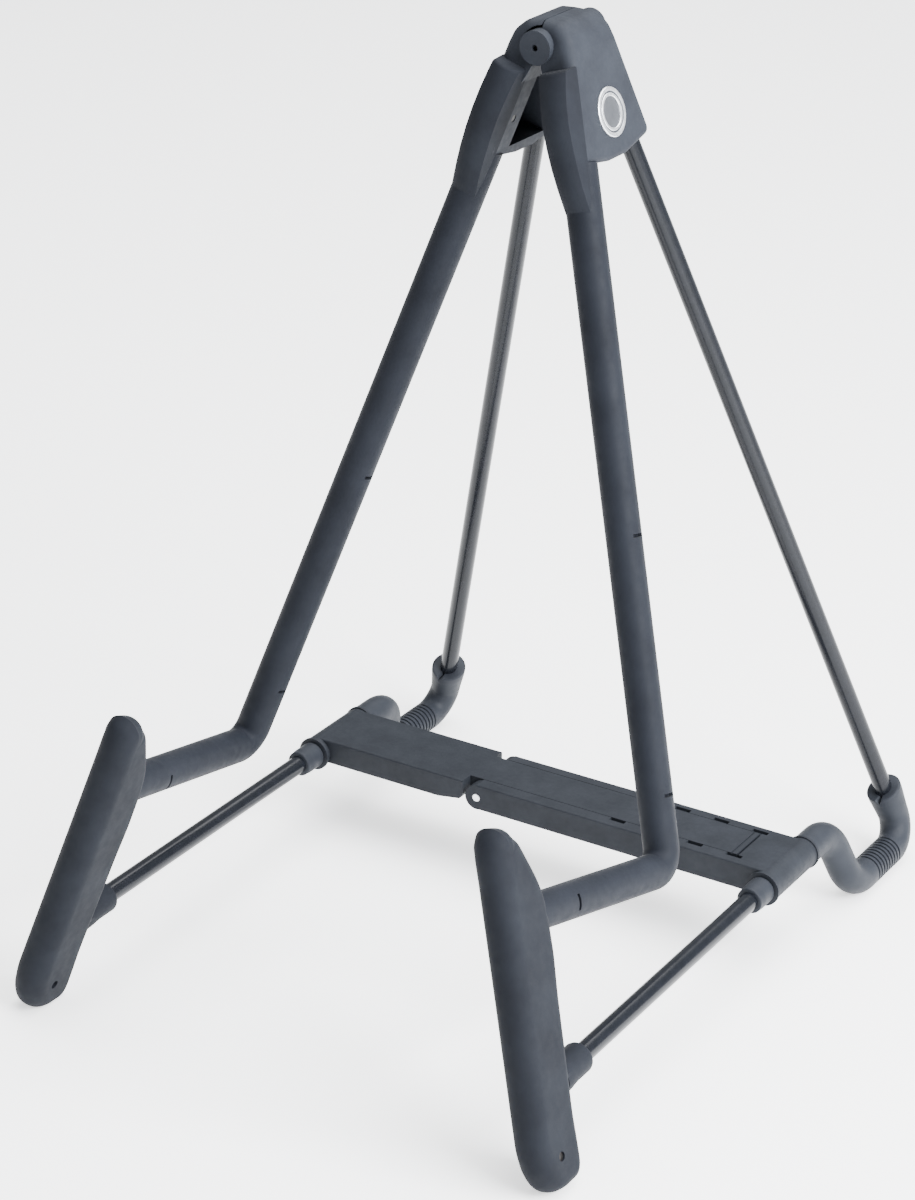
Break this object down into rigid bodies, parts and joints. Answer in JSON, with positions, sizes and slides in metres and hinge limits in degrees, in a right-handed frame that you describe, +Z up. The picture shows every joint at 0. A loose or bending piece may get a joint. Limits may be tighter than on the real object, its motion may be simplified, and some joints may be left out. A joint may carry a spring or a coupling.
{
  "type": "folding guitar stand",
  "caption": "Folding A-frame floor stand with padded arms, front pads, ribbed rear boots, a hinged head and a folding crossbar.",
  "frame": {"origin": "centre of the footprint on the floor, stand open", "axes": "+Z up, -Y towards the player (front pads), +X to the stand's own right side as drawn, hinge axes along Y"},
  "size_m": [0.3198, 0.4052, 0.4795],
  "materials": {
    "moulded_black": "fine-grained moulded plastic, satin",
    "bar_plastic": "fine-grained moulded plastic, satin",
    "core_plastic": "hidden moulded core",
    "black_tube": "gloss black powder coat on steel tube",
    "soft_hose": "soft-touch hose, satin",
    "soft_cover": "soft-touch moulding, satin",
    "boot_rubber": "soft-touch rubber, satin",
    "steel": "bright steel",
    "badge_metal": "bright metal, plain rings"
  },
  "bodies": {
    "left_frame": {"left_head": "moulded_black", "left_leg_tube": "black_tube", "left_leg_sleeve": "soft_hose", "left_base_tube": "black_tube", "left_rear_boot": "boot_rubber", "left_tube_collar": "boot_rubber", "left_pad_core": "core_plastic", "left_pad_cover": "soft_cover", "left_pad_screw": "steel", "left_back_cushion": "soft_cover", "left_badge": "badge_metal", "left_tube_screws": "steel"},
    "left_bar": {"crossbar_left": "bar_plastic"},
    "right_bar": {"crossbar_right": "bar_plastic", "knee_pin": "steel"},
    "right_frame": {"right_head": "moulded_black", "right_leg_tube": "black_tube", "right_leg_sleeve": "soft_hose", "right_base_tube": "black_tube", "right_rear_boot": "boot_rubber", "right_tube_collar": "boot_rubber", "right_pad_core": "core_plastic", "right_pad_cover": "soft_cover", "right_pad_screw": "steel", "right_back_cushion": "soft_cover", "right_badge": "badge_metal", "right_tube_screws": "steel", "head_pin": "steel"}
  },
  "joints": [
    {"name": "left_bar_pivot", "type": "hinge", "parent": "left_frame", "child": "left_bar", "pos_m": [-0.13939, 0, 0.04418], "axis": [0, -1, 0], "range_deg": [0, 73]},
    {"name": "knee", "type": "hinge", "parent": "left_bar", "child": "right_bar", "pos_m": [-0.03575, 0, 0.0451], "axis": [0, 1, 0], "range_deg": [0, 116.59]},
    {"name": "right_frame_pivot", "type": "hinge", "parent": "right_bar", "child": "right_frame", "pos_m": [0.13939, 0, 0.04418], "axis": [0, -1, 0], "range_deg": [0, 27.5]}
  ],
  "couplings": [
    {"joint": "left_bar_pivot", "follows": "knee", "ratio": 0.62611},
    {"joint": "right_frame_pivot", "follows": "knee", "ratio": 0.23551}
  ]
}
